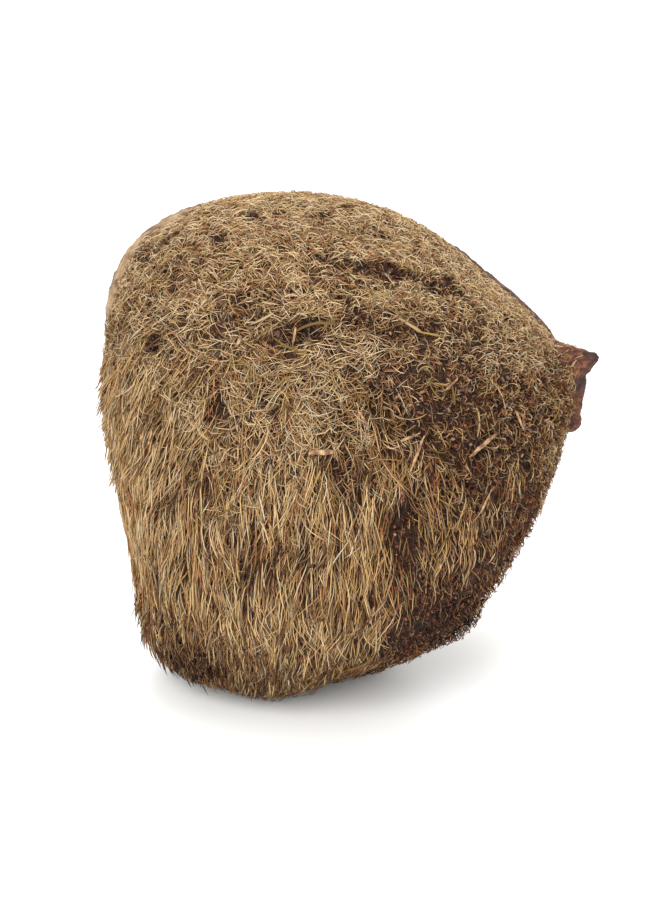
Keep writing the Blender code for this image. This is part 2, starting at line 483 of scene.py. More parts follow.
def band_height(places):
    """The height of a place's band, in millimetres."""
    return places[:, 2] - BAND_DIP * np.abs(places[:, 1])


def ease(values, start, end):
    """0 before start and 1 after end, smooth between them. start may be the larger."""
    share = np.clip((values - start) / (end - start + 1e-9), 0, 1)
    return share * share * (3 - 2 * share)


def drift(places, size, seed):
    """Smooth noise from -1 to 1, in patches about as wide as size millimetres."""
    lattice = np.random.default_rng(seed).uniform(-1, 1, (32, 32, 32))
    scaled = places / size + 64
    cell = np.floor(scaled).astype(int)
    share = scaled - cell
    share = share * share * (3 - 2 * share)
    total = np.zeros(len(places))
    for corner in itertools.product((0, 1), repeat=3):
        weight = np.prod(np.where(corner, share, 1 - share), axis=1)
        at = (cell + corner) % 32
        total += weight * lattice[at[:, 0], at[:, 1], at[:, 2]]
    return total


# ---------------------------------------------------------------- where the coat is worn

# Worn places on the front, and one of painted shade on its right side: side distance, band height, half
# width, half height, turn in degrees, strength.
WORN = {
    "dusty_right": (30, 64, 18, 12, 0, 0.7),
    "under_beak": (48, 73, 7, 11, 0, 0.6),
    # Painted shade: the front's right side, darkened and thinned as a worn place is.
    "painted_shade_right": (31, 36, 21, 24, 0, 0.35),
    "rusty_middle": (17, 72, 16, 12, 5, 0.65),
    "dark_heel": (20, 16, 15, 6.5, 33, 1.2),
    "dark_toe": (-36, 6, 9, 4.5, -25, 0.9),
    "long_crack": (6.5, 101, 9, 1.8, -7, 1.1),
    "crack_end": (19, 98, 8, 1.6, -20, 0.8),
    "short_crack": (14, 87, 7, 2.0, 4, 1.0),
    "knot_hole": (-43.5, 84, 2.2, 2.2, 0, 1.3),
    "left_slit": (-24, 91, 1.6, 5, 8, 0.7),
    "yellow_gap": (-12, 86, 7, 2.2, 14, 1.1),
    "grey_left": (-38, 79, 3, 4, 0, 0.4),
    "mid_gap": (1.5, 54, 8, 5, 0, 0.7),
    "low_gap": (-16, 36, 4, 6, 0, 0.5),
    "right_gap": (12, 40, 5, 9, 0, 0.9),
    "right_hollow": (14, 45, 4, 7, 10, 0.5),
    "far_gap": (30, 51, 6, 3, 0, 0.9),
    "scuffed": (14, 27, 5, 4, 0, 0.7),
    "dark_patch": (-23, 27, 2, 3, 0, 0.9),
    "left_dark": (-28, 50, 5, 3, 20, 0.6),
    "centre_pit": (-1, 95, 3.0, 2.0, 0, 0.6),
    "beam_pit": (2, 89, 3.6, 2.4, 0, 1.0),
    "right_pit": (13, 72, 9, 6, 10, 0.8),
}


def worn(places):
    """How worn the coat is, from 0 to about 1: in the named places on the front, and in patches all round. On
    the front's right side the same darkening is painted shade.
    """
    x, height = places[:, 0], band_height(places)
    most = 0.42 * ease(drift(places, 7, 3) + 0.5 * drift(places, 2.5, 4), 0.48, 0.8)
    on_front = ease(places[:, 1], 8, -4)
    ragged = 0.30 * drift(places, 3.0, 6) + 0.2 * drift(places, 1.3, 10)
    for at_x, at_height, wide, tall, turn, strength in WORN.values():
        c, s = math.cos(math.radians(turn)), math.sin(math.radians(turn))
        dx, dz = x - at_x, height - at_height
        ring = np.hypot((dx * c + dz * s) / wide, (dz * c - dx * s) / tall) + ragged
        most = np.maximum(most, strength * on_front * ease(ring, 1.25, 0.65))
    return most


PARTING = 62
PARTING_LIFT = 22  # how much higher it lies on the left flank


def parting(places):
    """The band height below which the coat is combed down, on a ragged line."""
    ragged = PARTING + PARTING_LIFT * ease(places[:, 0], -18, -48) + 9 * drift(places, 13, 5)
    return ragged + 7 * drift(places, 5, 7)


def low(places):
    """1 well below the parting and 0 well above it."""
    return ease(band_height(places) - parting(places), 15, -15)


def thatched(places):
    """Where the combed thatch grows: it thins out well above the parting, and is worn off at the margin."""
    return ease(band_height(places) - parting(places), 24, -12) * (1 - 0.95 * margin(places))


def high(places):
    """1 on the crown, above the tangle."""
    return ease(band_height(places) + 5 * drift(places, 8, 8), 82, 98) * (1 - low(places))


def tangled(places):
    """Where the tangle lies: below the crown, thinning out well below the parting."""
    return ease(band_height(places) - parting(places), -26, 6) * (1 - high(places))


RIM_AHEAD = -20.5  # where the rim that the camera sees edge on lies, along AHEAD


def margin(places):
    """The right-hand margin below the beak and the foot of the husk, where only stubble is left."""
    height = band_height(places)
    from_rim = np.abs(places @ AHEAD - RIM_AHEAD) + 4 * drift(places, 5, 13)
    right = ease(from_rim, 32, 24) * ease(places[:, 0], 8, 16)
    return np.maximum(right * ease(height, 90, 80), 0.8 * ease(height + 3 * drift(places, 5, 9), 7, 2))


def tufted(places):
    """Where rusty tufts grow: in small patches, most of them above the thatch."""
    return (1 - low(places) * 0.8) * ease(drift(places, 2.4, 33), 0.42, 0.62)


def broken_off(places):
    """Where the long fibres have broken off and left stubs: the margin and the worn places."""
    return np.clip(np.maximum(margin(places), 0.8 * worn(places) - 0.2), 0, 1)


def hanging(places):
    """Where rotted ends hang over the foot: in a low band, on the left and at the back."""
    height = band_height(places)
    on_foot = ease(height + 0.3 * places[:, 0], 14, 5) * ease(height, -2, 4) * 0.7
    return on_foot * np.maximum(ease(places[:, 0], 6, -8), ease(places[:, 1], 0, 15))


def dusty(places):
    """Where crumbs and dust gather: in the worn places, but less on the crown."""
    return np.clip(worn(places) * 1.1, 0, 1) * (1 - 0.7 * high(places))


def left_flank(places):
    """The bulge of the left flank, where long fibres stand off."""
    height = band_height(places)
    return ease(places[:, 0], -44, -51) * ease(height, 50, 60) * ease(height, 90, 80)


def bundles(places):
    """Fibres that hang together in bundles: noise drawn out lengthwise, from -1 to 1."""
    return drift(places * (1.0, 1.0, 0.28), 1.6, 41)


def pits(places):
    """1 in small pits all over the coat."""
    return ease(drift(places, 2.6, 31), -0.32, -0.56)


# What is left of the dried skin, from its start to its end in degrees round the husk from its right: a patch
# that comes forward over the left shoulder, and a strip from the crown to the beak.
SKINS = {"shoulder_skin": (157.0, 108.0), "rim_skin": (80.0, 22.0)}
SKIN_WIDTH = 4.5
SHOULDER = (112, 128)  # the angles between which it comes forward


def skin_edges(angle):
    """How far the skin's front and back edge lie behind the husk's middle, at an angle round the husk. Both
    are ragged, and they draw together at the skin's two ends."""
    ragged = np.stack([2 * angle, 0 * angle, 0 * angle], axis=1)
    over = ease(angle, *SHOULDER)
    front = 0.1 - 18 * over + (0.5 + over) * drift(ragged, 7, 51)
    back = SKIN_WIDTH - 2.5 * over + 2.5 * drift(ragged, 24, 52) + 2.0 * drift(ragged, 6, 53)
    ends = [ease(angle, start, start - 9) * ease(angle, end, end + 14) for start, end in SKINS.values()]
    ends = np.max(ends, 0)
    centre = 2.0 - 7.0 * over
    return centre + (front - centre) * ends, centre + (back - centre) * ends


def skin_rise(angle):
    """How far the skin stands off the husk: it is curled up on its way to the beak."""
    return 0.15 + 0.7 * ease(angle, 80, 58) * ease(angle, 22, 34)


def on_skin(places, centre):
    """Near 1 where the dried skin leaves no fibre. In patches some fibres still lie over it."""
    off = places - centre
    angle = np.degrees(np.arctan2(off @ UP, off[:, 0]))
    inside = np.max([(angle < start) & (angle > end) for start, end in SKINS.values()], 0)
    front, back = skin_edges(angle)
    behind = off @ AHEAD
    covered = 0.06 + 0.4 * ease(drift(places, 3.5, 54), 0.0, 0.4)
    return (1 - covered) * inside * ease(behind, front - 0.3, front + 2.5) * ease(behind, back, back - 2.5)


def near_beak(places, tip):
    """1 close to the beak and in a narrow line along the lip below it, where nothing grows. The distance is
    stretched, so that the place is long downwards and narrow from front to back."""
    off = places - tip
    off[:, 1] *= 1 + 1.2 * ease(off[:, 2], -2, -6)
    off[:, 2] *= np.where(off[:, 2] < 0, 0.42, 1.1)
    return ease(np.linalg.norm(off, axis=1) + 1.0 * drift(places, 2, 12), 6.4, 5.0)


# ---------------------------------------------------------------- fibres


def model_fibre(rings):
    """One straight fibre: a three-sided rod, cut across into rings, with its end drawn to a point.
    Its corners are (side, side, share of the length)."""
    bpy.ops.mesh.primitive_cylinder_add(vertices=FIBRE_SIDES, radius=1, depth=1, location=(0, 0, 0.5))
    fibre = bpy.context.object
    settle(fibre)
    edit(fibre)
    pick(fibre, lambda e: abs(e.verts[0].co.z - e.verts[1].co.z) > 0.5, "EDGE")
    bpy.ops.mesh.subdivide(number_cuts=rings - 2)
    pick(fibre, lambda v: v.co.z > 0.999)
    bpy.ops.mesh.merge(type="CENTER")
    done()
    face_outwards(fibre)
    corners = corners_of(fibre.data)
    faces = [list(face.vertices) for face in fibre.data.polygons]
    bpy.data.objects.remove(fibre)
    return corners, faces


def fibre_profile(share):
    """How thick a fibre is along its length, as a share of its thickest."""
    return np.clip(0.72 + 0.5 * share, 0, 1) * np.clip((1.0 - share) / 0.22, 0.0, 1) ** 0.6


def bend_fibres(template, paths, thick, tones):
    """Copies of the straight fibre, each bent along its own path. Gives corners, faces and tone map."""
    corners, faces = template
    count, steps = paths.shape[:2]
    along = np.gradient(paths, axis=1)
    along /= np.maximum(np.linalg.norm(along, axis=2, keepdims=True), 1e-9)
    upward = np.zeros_like(along)
    upward[..., 2] = 1.0
    upward[np.abs(along[..., 2]) > 0.92] = (0.0, 1.0, 0.0)
    side = np.cross(upward, along)
    side /= np.maximum(np.linalg.norm(side, axis=2, keepdims=True), 1e-9)
    over = np.cross(along, side)
    step = np.rint(corners[:, 2] * (steps - 1)).astype(int)
    radius = thick[:, None] / 2 * fibre_profile(corners[:, 2])[None, :]
    out = side[:, step] * corners[None, :, :1] + over[:, step] * corners[None, :, 1:2]
    bent = paths[:, step] + out * radius[..., None]
    turn = np.arctan2(corners[:, 1], corners[:, 0]) % (2 * math.pi) / (2 * math.pi)
    turn[np.hypot(corners[:, 0], corners[:, 1]) < 1e-6] = 0.5
    shared = []
    for face in faces:
        root_cap = corners[face, 2].max() < 0.01
        for k, corner in enumerate(face):
            # One corner of the cap is lifted, so that the cap too has an area on the map.
            lift = 0.02 if root_cap and k == 1 else 0.0
            shared.append((turn[corner] * UV_STRIP, corners[corner, 2] + lift))
    tone_map = np.repeat(np.array(shared)[None], count, axis=0)
    tone_map[..., 0] += tones[:, None]
    tone_map[..., 1] = np.clip(tone_map[..., 1], 0.004, 0.996)
    starts = np.arange(count)[:, None] * len(corners)
    loops = (starts + np.concatenate(faces)[None]).ravel()
    sizes = np.tile([len(f) for f in faces], count)
    return bent.reshape(-1, 3), loops, sizes, tone_map.reshape(-1, 2)


def make_mesh(name, corners, loops, sizes, tone_map):
    """A mesh in metres from corners in millimetres, with the tone map as its UV map."""
    mesh = bpy.data.meshes.new(name)
    mesh.vertices.add(len(corners))
    mesh.vertices.foreach_set("co", (corners * MM).ravel().astype(np.float32))
    mesh.loops.add(len(loops))
    mesh.loops.foreach_set("vertex_index", loops.astype(np.int32))
    mesh.polygons.add(len(sizes))
    mesh.polygons.foreach_set("loop_start", np.concatenate([[0], np.cumsum(sizes)[:-1]]).astype(np.int32))
    mesh.update(calc_edges=True)
    layer = mesh.uv_layers.new(name="OFBake")
    layer.uv.foreach_set("vector", tone_map.ravel().astype(np.float32))
    obj = bpy.data.objects.new(name, mesh)
    bpy.context.scene.collection.objects.link(obj)
    return obj


def turned(way, normal, angle):
    """The ways turned about the normals."""
    c, s = np.cos(angle)[:, None], np.sin(angle)[:, None]
    return way * c + np.cross(normal, way) * s


def combed(places):
    """The way the coat is combed: down, and fanning out to both sides."""
    height = band_height(places)
    lean = 0.26 * places[:, 0] / 50 - 0.34 * ease(places[:, 0], -28, -50) * ease(height, 30, 70)
    return np.stack([lean, 0.05 * np.sign(places[:, 1]), -np.ones(len(places))], axis=1)


def gathered(paths, every, pull):
    """The fibres drawn together into tufts: each leans over to the nearest of the leading fibres."""
    leading = paths[::every]
    tree = KDTree(len(leading))
    for number, path in enumerate(leading):
        tree.insert(path[0], number)
    tree.balance()
    nearest = np.array([tree.find(path[0])[1] for path in paths])
    share = np.linspace(0, 1, paths.shape[1]) ** 1.2
    return paths + (leading[nearest] - paths) * (pull * share)[None, :, None]


def step_on(husk, at, way, normal, angle, stride):
    """One step over the surface: the ways turn, the places move on, and both come back to the husk."""
    way = turned(way, normal, angle)
    at = husk.snap(at + way * stride[:, None])
    normal = husk.normal(at)
    return at, unit(way - normal * dot(way, normal)), normal


def run_paths(husk, roots, coat, rng):
    """Paths of fibres that start at roots and run over the surface, as (fibre, ring, xyz)."""
    count, rings = len(roots), coat["rings"]
    at = husk.snap(roots)
    normal = husk.normal(at)
    stray = unit(np.cross(normal, rng.normal(size=(count, 3))))
    comb = unit(combed(at))
    comb = unit(comb - normal * dot(comb, normal))
    order = coat["combed"] * (1 - 0.35 * (coat["combed"] > 0.8) * (1 - low(at)))
    order = (order + (0.97 - order) * low(at))[:, None]
    way = unit(comb * order + stray * (1 - order))
    angle = coat["sway"] * drift(at, coat["clump"], coat["seed"]) + coat["astray"] * rng.normal(size=count)
    way = turned(way, normal, angle)
    broken = ease(at[:, 0], 6, 26)
    length = rng.uniform(*coat["length"], count) * (1 - 0.45 * np.clip(worn(at), 0, 1)) * (1 - 0.35 * broken)
    bend = rng.normal(0, coat["curl"], count)
    layer = rng.random(count) ** 0.8
    rise = coat["rise"] * rng.random(count) ** 1.5
    arch = coat["arch"] * rng.random(count)
    paths = np.zeros((count, rings, 3))
    for k in range(rings):
        share = k / (rings - 1)
        height = ROOT_HEIGHT + (MAT_DEPTH * layer) * min(share / 0.3, 1.0) + rise * share**1.4
        height += arch * math.sin(math.pi * share) - coat["tuck"] * ease(np.array(share), 0.7, 1.0)
        paths[:, k] = at + normal * height[:, None]
        wander = bend + rng.normal(0, coat["wander"], count) * (1 + 0.8 * broken)
        at, way, normal = step_on(husk, at, way, normal, wander, length / (rings - 1))
    if coat["tufts"]:
        paths = gathered(paths, coat["tufts"], coat["pull"])
    paths[..., 2] = np.maximum(paths[..., 2], LEAST_HEIGHT)
    return paths, layer


def tone_of(places, coat, layer, rng):
    """The tone of each fibre, 0 the darkest and 1 the palest."""
    tone = coat["tone"] + coat["spread"] * rng.normal(size=len(places))
    tone += 0.10 * drift(places, 9, 21) + 0.10 * drift(places, 3, 22) + 0.10 * bundles(places)
    # Deeper fibres are darker, partly as painted shade of the fibres over them and partly as the older fibre
    # underneath; the lower coat's right side is darkened as painted shade.
    tone += coat["depth"] * (layer - 0.55) - 0.09 * ease(places[:, 0], -5, 20) * low(places)
    # Near the foot the fibres are made darker.
    return tone - 0.30 * np.clip(worn(places), 0, 1.2) - coat["foot_darkening"] * ease(band_height(places), 9, 3)


def place_on_map(tones, shares, rng):
    """Where each fibre lies across the tone map: in one of the hues, at its tone."""
    hue = rng.choice(HUES, len(tones), p=shares)
    return (hue + np.clip(tones, HUE_EDGE, 1 - 2 * HUE_EDGE)) / HUES


def grow(husk, tip, coat, material, template):
    """Plants one kind of fibre where it grows, and splits it into pieces of a manageable size."""
    rng = np.random.default_rng(SEED + coat["seed"])
    roots = husk.scatter(coat["count"], rng)
    clear_of_floor = roots[:, 2] > 1.2
    chance = coat["where"](roots) * clear_of_floor
    roots = roots[rng.random(len(roots)) < chance]
    paths, layer = run_paths(husk, roots, coat, rng)
    halfway, most = paths[:, len(paths[0]) // 2], paths[:, -2]
    bare = np.max([worn(paths[:, k]) for k in range(1, paths.shape[1])], axis=0)
    chance = 1 - coat["thinned"] * np.clip(bare, 0, 1) ** 1.3
    for places in (roots, halfway, most):
        chance *= (1 - on_skin(places, husk.middle)) * (1 - near_beak(places, tip))
        chance *= 1 - coat["pitted"] * pits(places)
    chance *= 1 - coat["gaps"] * ease(bundles(halfway), -0.15, -0.5)
    kept = rng.random(len(roots)) < chance
    paths, layer, halfway = paths[kept], layer[kept], halfway[kept]
    tones = place_on_map(tone_of(halfway, coat, layer, rng), coat["hues"], rng)
    thick = rng.uniform(*coat["thick"], len(paths))
    order = np.argsort(np.arctan2(halfway[:, 1], halfway[:, 0]))
    triangles_each = sum(len(f) - 2 for f in template[1])
    parts = math.ceil(len(paths) * triangles_each / PIECE_TRIANGLES)
    for number, part in enumerate(np.array_split(order, parts)):
        name = f"{coat['name']}_{number + 1}"
        obj = make_mesh(name, *bend_fibres(template, paths[part], thick[part], tones[part]))
        finish_piece(obj, material)


# How each kind of fibre grows. Length, thickness, clump, rise, arch and tuck are in millimetres. Sway and
# astray turn a fibre as it starts, and curl and wander at each step, in radians. Where there are tufts, one
# fibre in so many leads its tuft. The rest are shares.
COMMON = {
    "rings": 6, "rise": 0.0, "arch": 0.0, "tuck": 0.0, "sway": 0.4, "clump": 3.0, "astray": 0.15,
    "curl": 0.1, "wander": 0.12, "tufts": 0, "pull": 0.0, "thinned": 0.6, "pitted": 0.3, "gaps": 0.0,
    "depth": 0.45, "foot_darkening": 0.0, "hues": (0.50, 0.20, 0.12, 0.18),
}
COATS = [
    {  # the combed thatch of the lower half
        "name": "thatch", "seed": 1, "count": 44000, "where": thatched, "material": "golden",
        "length": (7.0, 16.0), "thick": (0.17, 0.31), "combed": 0.95, "clump": 5.0, "sway": 0.36,
        "astray": 0.17, "curl": 0.03, "wander": 0.11, "rise": 1.2, "tone": 0.63, "spread": 0.12,
        "foot_darkening": 0.16, "gaps": 0.55, "thinned": 0.75, "tufts": 8, "pull": 0.55, "depth": 0.6,
    },
    {  # finer, darker fibres deep in the thatch
        "name": "underthatch", "seed": 2, "count": 10000, "where": low, "material": "umber",
        "length": (5.0, 11.0), "thick": (0.18, 0.28), "combed": 0.9, "clump": 4.0, "sway": 0.5,
        "rise": 0.4, "tone": 0.60, "spread": 0.16, "thinned": 0.0, "rings": 4,
    },
    {  # the tangled middle
        "name": "tangle", "seed": 3, "count": 112000, "where": tangled, "material": "straw",
        "length": (3.2, 8.5), "thick": (0.12, 0.20), "combed": 0.45, "clump": 3.0, "sway": 1.0,
        "astray": 0.6, "curl": 0.16, "wander": 0.36, "rise": 0.2, "arch": 0.8, "tuck": 0.7, "tone": 0.71,
        "spread": 0.15, "pitted": 0.6, "thinned": 0.6, "rings": 5,
    },
    {  # the felted crown
        "name": "felt", "seed": 4, "count": 195000, "where": high, "material": "felt",
        "length": (2.6, 6.2), "thick": (0.12, 0.19), "combed": 0.2, "clump": 2.2, "sway": 1.5,
        "astray": 0.8, "curl": 0.30, "wander": 0.35, "rise": 0.2, "arch": 0.5, "tuck": 0.6, "tone": 0.70,
        "spread": 0.15, "pitted": 0.7, "thinned": 0.85, "rings": 5, "hues": (0.54, 0.22, 0.16, 0.08),
    },
    {  # rusty fibres in small tufts among the others
        "name": "rusty_tufts", "seed": 8, "count": 95000, "where": tufted, "material": "rusty",
        "length": (2.0, 5.0), "thick": (0.15, 0.25), "combed": 0.3, "clump": 2.0, "sway": 1.2,
        "astray": 0.8, "curl": 0.3, "wander": 0.3, "rise": 0.5, "arch": 0.5, "tuck": 0.4, "tone": 0.50,
        "spread": 0.14, "rings": 4, "thinned": 0.2, "pitted": 0.2, "hues": (0.6, 0.05, 0.35, 0.0),
    },
    {  # broken stubs, where the long fibres have worn off
        "name": "stubble", "seed": 5, "count": 47000, "where": broken_off, "material": "rusty",
        "length": (1.2, 3.6), "thick": (0.15, 0.27), "combed": 0.7, "clump": 2.0, "sway": 0.8,
        "astray": 0.6, "curl": 0.2, "wander": 0.3, "rise": 1.0, "tone": 0.62, "spread": 0.18,
        "thinned": 0.0, "pitted": 0.5, "hues": (0.47, 0.15, 0.33, 0.05), "rings": 4, "foot_darkening": 0.1,
    },
    {  # the fringe that stands off the left flank
        "name": "fringe", "seed": 6, "count": 44000, "where": left_flank, "material": "golden",
        "length": (5.0, 9.0), "thick": (0.20, 0.32), "combed": 0.95, "clump": 3.0, "sway": 0.3,
        "astray": 0.12, "curl": 0.05, "rise": 3.4, "tone": 0.68, "spread": 0.12, "thinned": 0.2, "gaps": 0.6,
        "tufts": 6, "pull": 0.6,
    },
    {  # dark, rotted ends that hang over the foot
        "name": "hem", "seed": 7, "count": 62000, "where": hanging, "material": "singed",
        "length": (4.0, 9.0), "thick": (0.20, 0.34), "combed": 0.95, "clump": 2.4, "sway": 0.3,
        "curl": 0.06, "rise": 3.2, "tone": 0.60, "spread": 0.16, "thinned": 0.3, "gaps": 0.6, "rings": 5,
        "tufts": 5, "pull": 0.6,
    },
]


# ---------------------------------------------------------------- the other pieces


def middle_of(places):
    return (places.min(0) + places.max(0)) / 2


def make_mat(node):
    """The mat of pith under the fibres: the husk's own form, drawn in a little, dense and lumpy."""
    mat = bpy.data.objects.new("pith_mat", node.data.copy())
    bpy.context.scene.collection.objects.link(mat)
    edit(mat)
    bpy.ops.mesh.select_all(action="SELECT")
    bpy.ops.mesh.remove_doubles(threshold=1e-6)
    done()
    remesh(mat, 1.1 * MM)
    shrink = mat.modifiers.new("drawn_in", "DISPLACE")
    shrink.strength = -MAT_DEPTH * MM
    shrink.mid_level = 0.0
    roughen(mat, 4 * MM, 1.2 * MM, "lumps")
    roughen(mat, 1.6 * MM, 1.0 * MM, "crumbs")
    apply_all(mat)
    places = corners_of(mat.data) / MM
    depth = hollow(places) + 0.8 * np.clip(worn(places), 0, 1)
    places += unit(middle_of(places) - places) * depth[:, None]
    places[:, 2] = np.maximum(places[:, 2], 0.0)
    mat.data.vertices.foreach_set("co", (places * MM).ravel())
    mat.data.update()
    return mat


BEAK_TILT = 20.0  # degrees
BEAK_LONG = 15.0
BEAK_ROOT = 12.5  # radius
BEAK_END = 0.9  # radius
LIP_TOP = 6.0  # below the beak's tip
LIP_LONG = 10.0
LIP_BEADS = 34


def make_beak(husk):
    """The woody beak and the lip below it, grown together: a flattened cone, and a row of beads for the lip
    with a knob at its foot, all made one."""
    tip = husk.corners[np.argmax(husk.corners[:, 0])] + (0.5, 0.0, 0.3)
    out = Vector((math.cos(math.radians(BEAK_TILT)), 0, math.sin(math.radians(BEAK_TILT))))
    centre = Vector(tip) - out * BEAK_LONG / 2
    bpy.ops.mesh.primitive_cone_add(
        vertices=32, radius1=BEAK_ROOT * MM, radius2=BEAK_END * MM, depth=BEAK_LONG * MM,
        location=centre * MM, rotation=out.to_track_quat("Z", "Y").to_euler(),
    )
    beak = bpy.context.object
    beak.name = "beak_and_lip"
    settle(beak)
    edit(beak)
    bpy.ops.mesh.select_all(action="SELECT")
    bpy.ops.transform.resize(value=(1, 0.6, 1), center_override=tuple(centre * MM))
    bpy.ops.mesh.subdivide(number_cuts=3)
    pick(beak, lambda v: v.co.z < (tip[2] - 3.0) * MM and v.co.x > (tip[0] - 5) * MM)
    bpy.ops.transform.translate(value=(-1.2 * MM, 0, 0))
    done()
    beads = []
    for k in range(LIP_BEADS):
        share = k / (LIP_BEADS - 1)
        place = husk.snap(np.array([[tip[0] - 5, tip[1], tip[2] - LIP_TOP - LIP_LONG * share]]))[0]
        beads.append((place + [0.5, 0, 0], 2.5 - 0.6 * math.sin(math.pi * share * 0.9)))
    beads.append((beads[-1][0] + np.array([-0.4, 0, 0.2]), 2.8))
    pieces = [beak]
    for place, radius in beads:
        bpy.ops.mesh.primitive_uv_sphere_add(
            segments=16, ring_count=10, radius=radius * MM, location=Vector(place - [radius * 0.5, 0, 0]) * MM
        )
        pieces.append(bpy.context.object)
        settle(pieces[-1])
    join(pieces)
    remesh(beak, 0.33 * MM)
    soften = beak.modifiers.new("soften", "SMOOTH")
    soften.iterations = 4
    roughen(beak, 2.8 * MM, 1.0 * MM, "knots")
    roughen(beak, 0.9 * MM, 0.4 * MM, "pores")
    apply_all(beak)
    return beak, tip


def make_skin(husk, name):
    """One remnant of dried skin: a thin sheet laid on the husk, ragged, with its edges tucked in."""
    start, end = SKINS[name]
    bpy.ops.mesh.primitive_grid_add(x_subdivisions=70, y_subdivisions=14, size=2)
    skin = bpy.context.object
    skin.name = name
    flat = corners_of(skin.data)
    angle = start + (end - start) * (flat[:, 0] + 1) / 2
    turn = np.radians(angle)[:, None]
    front, back = skin_edges(angle)
    across = front + (back - front) * (flat[:, 1] + 1) / 2
    reach = 60
    rim = husk.snap(husk.middle + reach * (np.cos(turn) * [1.0, 0, 0] + np.sin(turn) * UP))
    places = husk.snap(rim + across[:, None] * AHEAD)
    places += husk.normal(places) * (skin_rise(angle)[:, None] - 1.3 * np.abs(flat[:, 1:2]) ** 6)
    for vert, place in zip(skin.data.vertices, places):
        vert.co = Vector(place) * MM
    wall = skin.modifiers.new("wall", "SOLIDIFY")
    wall.thickness = 0.6 * MM
    wall.offset = -1.0
    round_off(skin)
    roughen(skin, 2.5 * MM, 0.7 * MM, "ripples")
    roughen(skin, 0.9 * MM, 0.6 * MM, "flakes")
    apply_all(skin)
    face_outwards(skin)
    return skin


# Crumbs and flakes caught in the coat: how many are tried, and between what their size, their tone and their
# lift over the coat's outside lie. LUMP_STRETCH is how far a lump is stretched along, aside and outwards.
CRUMBS = {
    "shell_crumbs": {
        "seed": 60, "count": 8000, "size": (0.3, 0.8), "tone": (0.05, 0.8), "lift": (-1.4, -0.2),
    },
    "dark_dust": {
        "seed": 61, "count": 16000, "size": (0.25, 0.8), "tone": (0.0, 0.9), "lift": (-1.8, -0.6),
    },
    "pith_flakes": {
        "seed": 62, "count": 2200, "size": (0.5, 1.2), "tone": (0.3, 0.9), "lift": (-1.5, -0.6),
    },
}
LUMP_STRETCH = ((1.0, 2.2), (0.7, 1.1), (0.4, 0.8))


def scatter_crumbs(husk, name, where, material):
    """One kind of crumb: a chipped lump, copied, turned and sized for each."""
    kind = CRUMBS[name]
    rng = np.random.default_rng(SEED + kind["seed"])
    bpy.ops.mesh.primitive_ico_sphere_add(subdivisions=1, radius=0.5)
    lump = bpy.context.object
    corners = corners_of(lump.data)
    faces = np.array([f.vertices[:] for f in lump.data.polygons])
    bpy.data.objects.remove(lump)
    places = husk.snap(husk.scatter(kind["count"], rng))
    places = places[rng.random(len(places)) < where(places)]
    count = len(places)
    normal = husk.normal(places)
    along = unit(np.cross(normal, rng.normal(size=(count, 3))))
    aside = np.cross(normal, along)
    size = rng.uniform(*kind["size"], (count, 1))
    stretch = np.stack([rng.uniform(*between, count) for between in LUMP_STRETCH], 1)
    chipped = rng.uniform(0.75, 1.25, (count, len(corners), 1))
    shape = corners[None] * (size * stretch)[:, None] * chipped
    at = places + normal * rng.uniform(*kind["lift"], (count, 1))
    axes = (along, aside, normal)
    bent = at[:, None] + sum(shape[..., k : k + 1] * axis[:, None] for k, axis in enumerate(axes))
    bent[..., 2] = np.maximum(bent[..., 2], 0.1)
    loops = (np.arange(count)[:, None] * len(corners) + faces.ravel()[None]).ravel()
    tone_map = np.tile([(0.0, 0.6), (UV_STRIP, 0.75), (0.0, 0.9)], (count * len(faces), 1))
    tones = place_on_map(rng.uniform(*kind["tone"], count), (1, 0, 0, 0), rng)
    tone_map[:, 0] += np.repeat(tones, len(faces) * 3)
    obj = make_mesh(name, bent.reshape(-1, 3), loops, np.full(count * len(faces), 3), tone_map)
    finish_piece(obj, material)


# Loose straws laid over the coat: side distance, band height, way in degrees (0 to the right, 90 up), length,
# bow in degrees, thickness.
STRAWS = [
    (-12.0, 86.0, 42, 10, -50, 0.75), (-21.5, 88.0, 12, 6, 30, 0.6), (11.0, 89.5, -48, 6, 15, 0.8),
    (15.0, 86.5, -8, 6, 10, 0.6), (23.0, 69.5, 86, 6, 8, 0.6), (18.5, 74.5, -10, 4, 5, 0.55),
    (5.0, 94.5, 14, 5, 25, 0.5), (-9.0, 81.0, 168, 9, -30, 0.55), (-30.0, 96.0, 58, 12, 6, 0.35),
    (-8.0, 112.0, -40, 10, 4, 0.4), (-20.0, 66.0, 30, 12, 60, 0.4), (-34.0, 42.0, 22, 12, 8, 0.4),
    (-4.0, 3.0, 12, 17, 70, 0.5), (-20.0, 76.0, -4, 9, 24, 0.45), (28.0, 62.0, 60, 7, 40, 0.4),
]
MORE_STRAWS = 60
STRAW_RINGS = 12


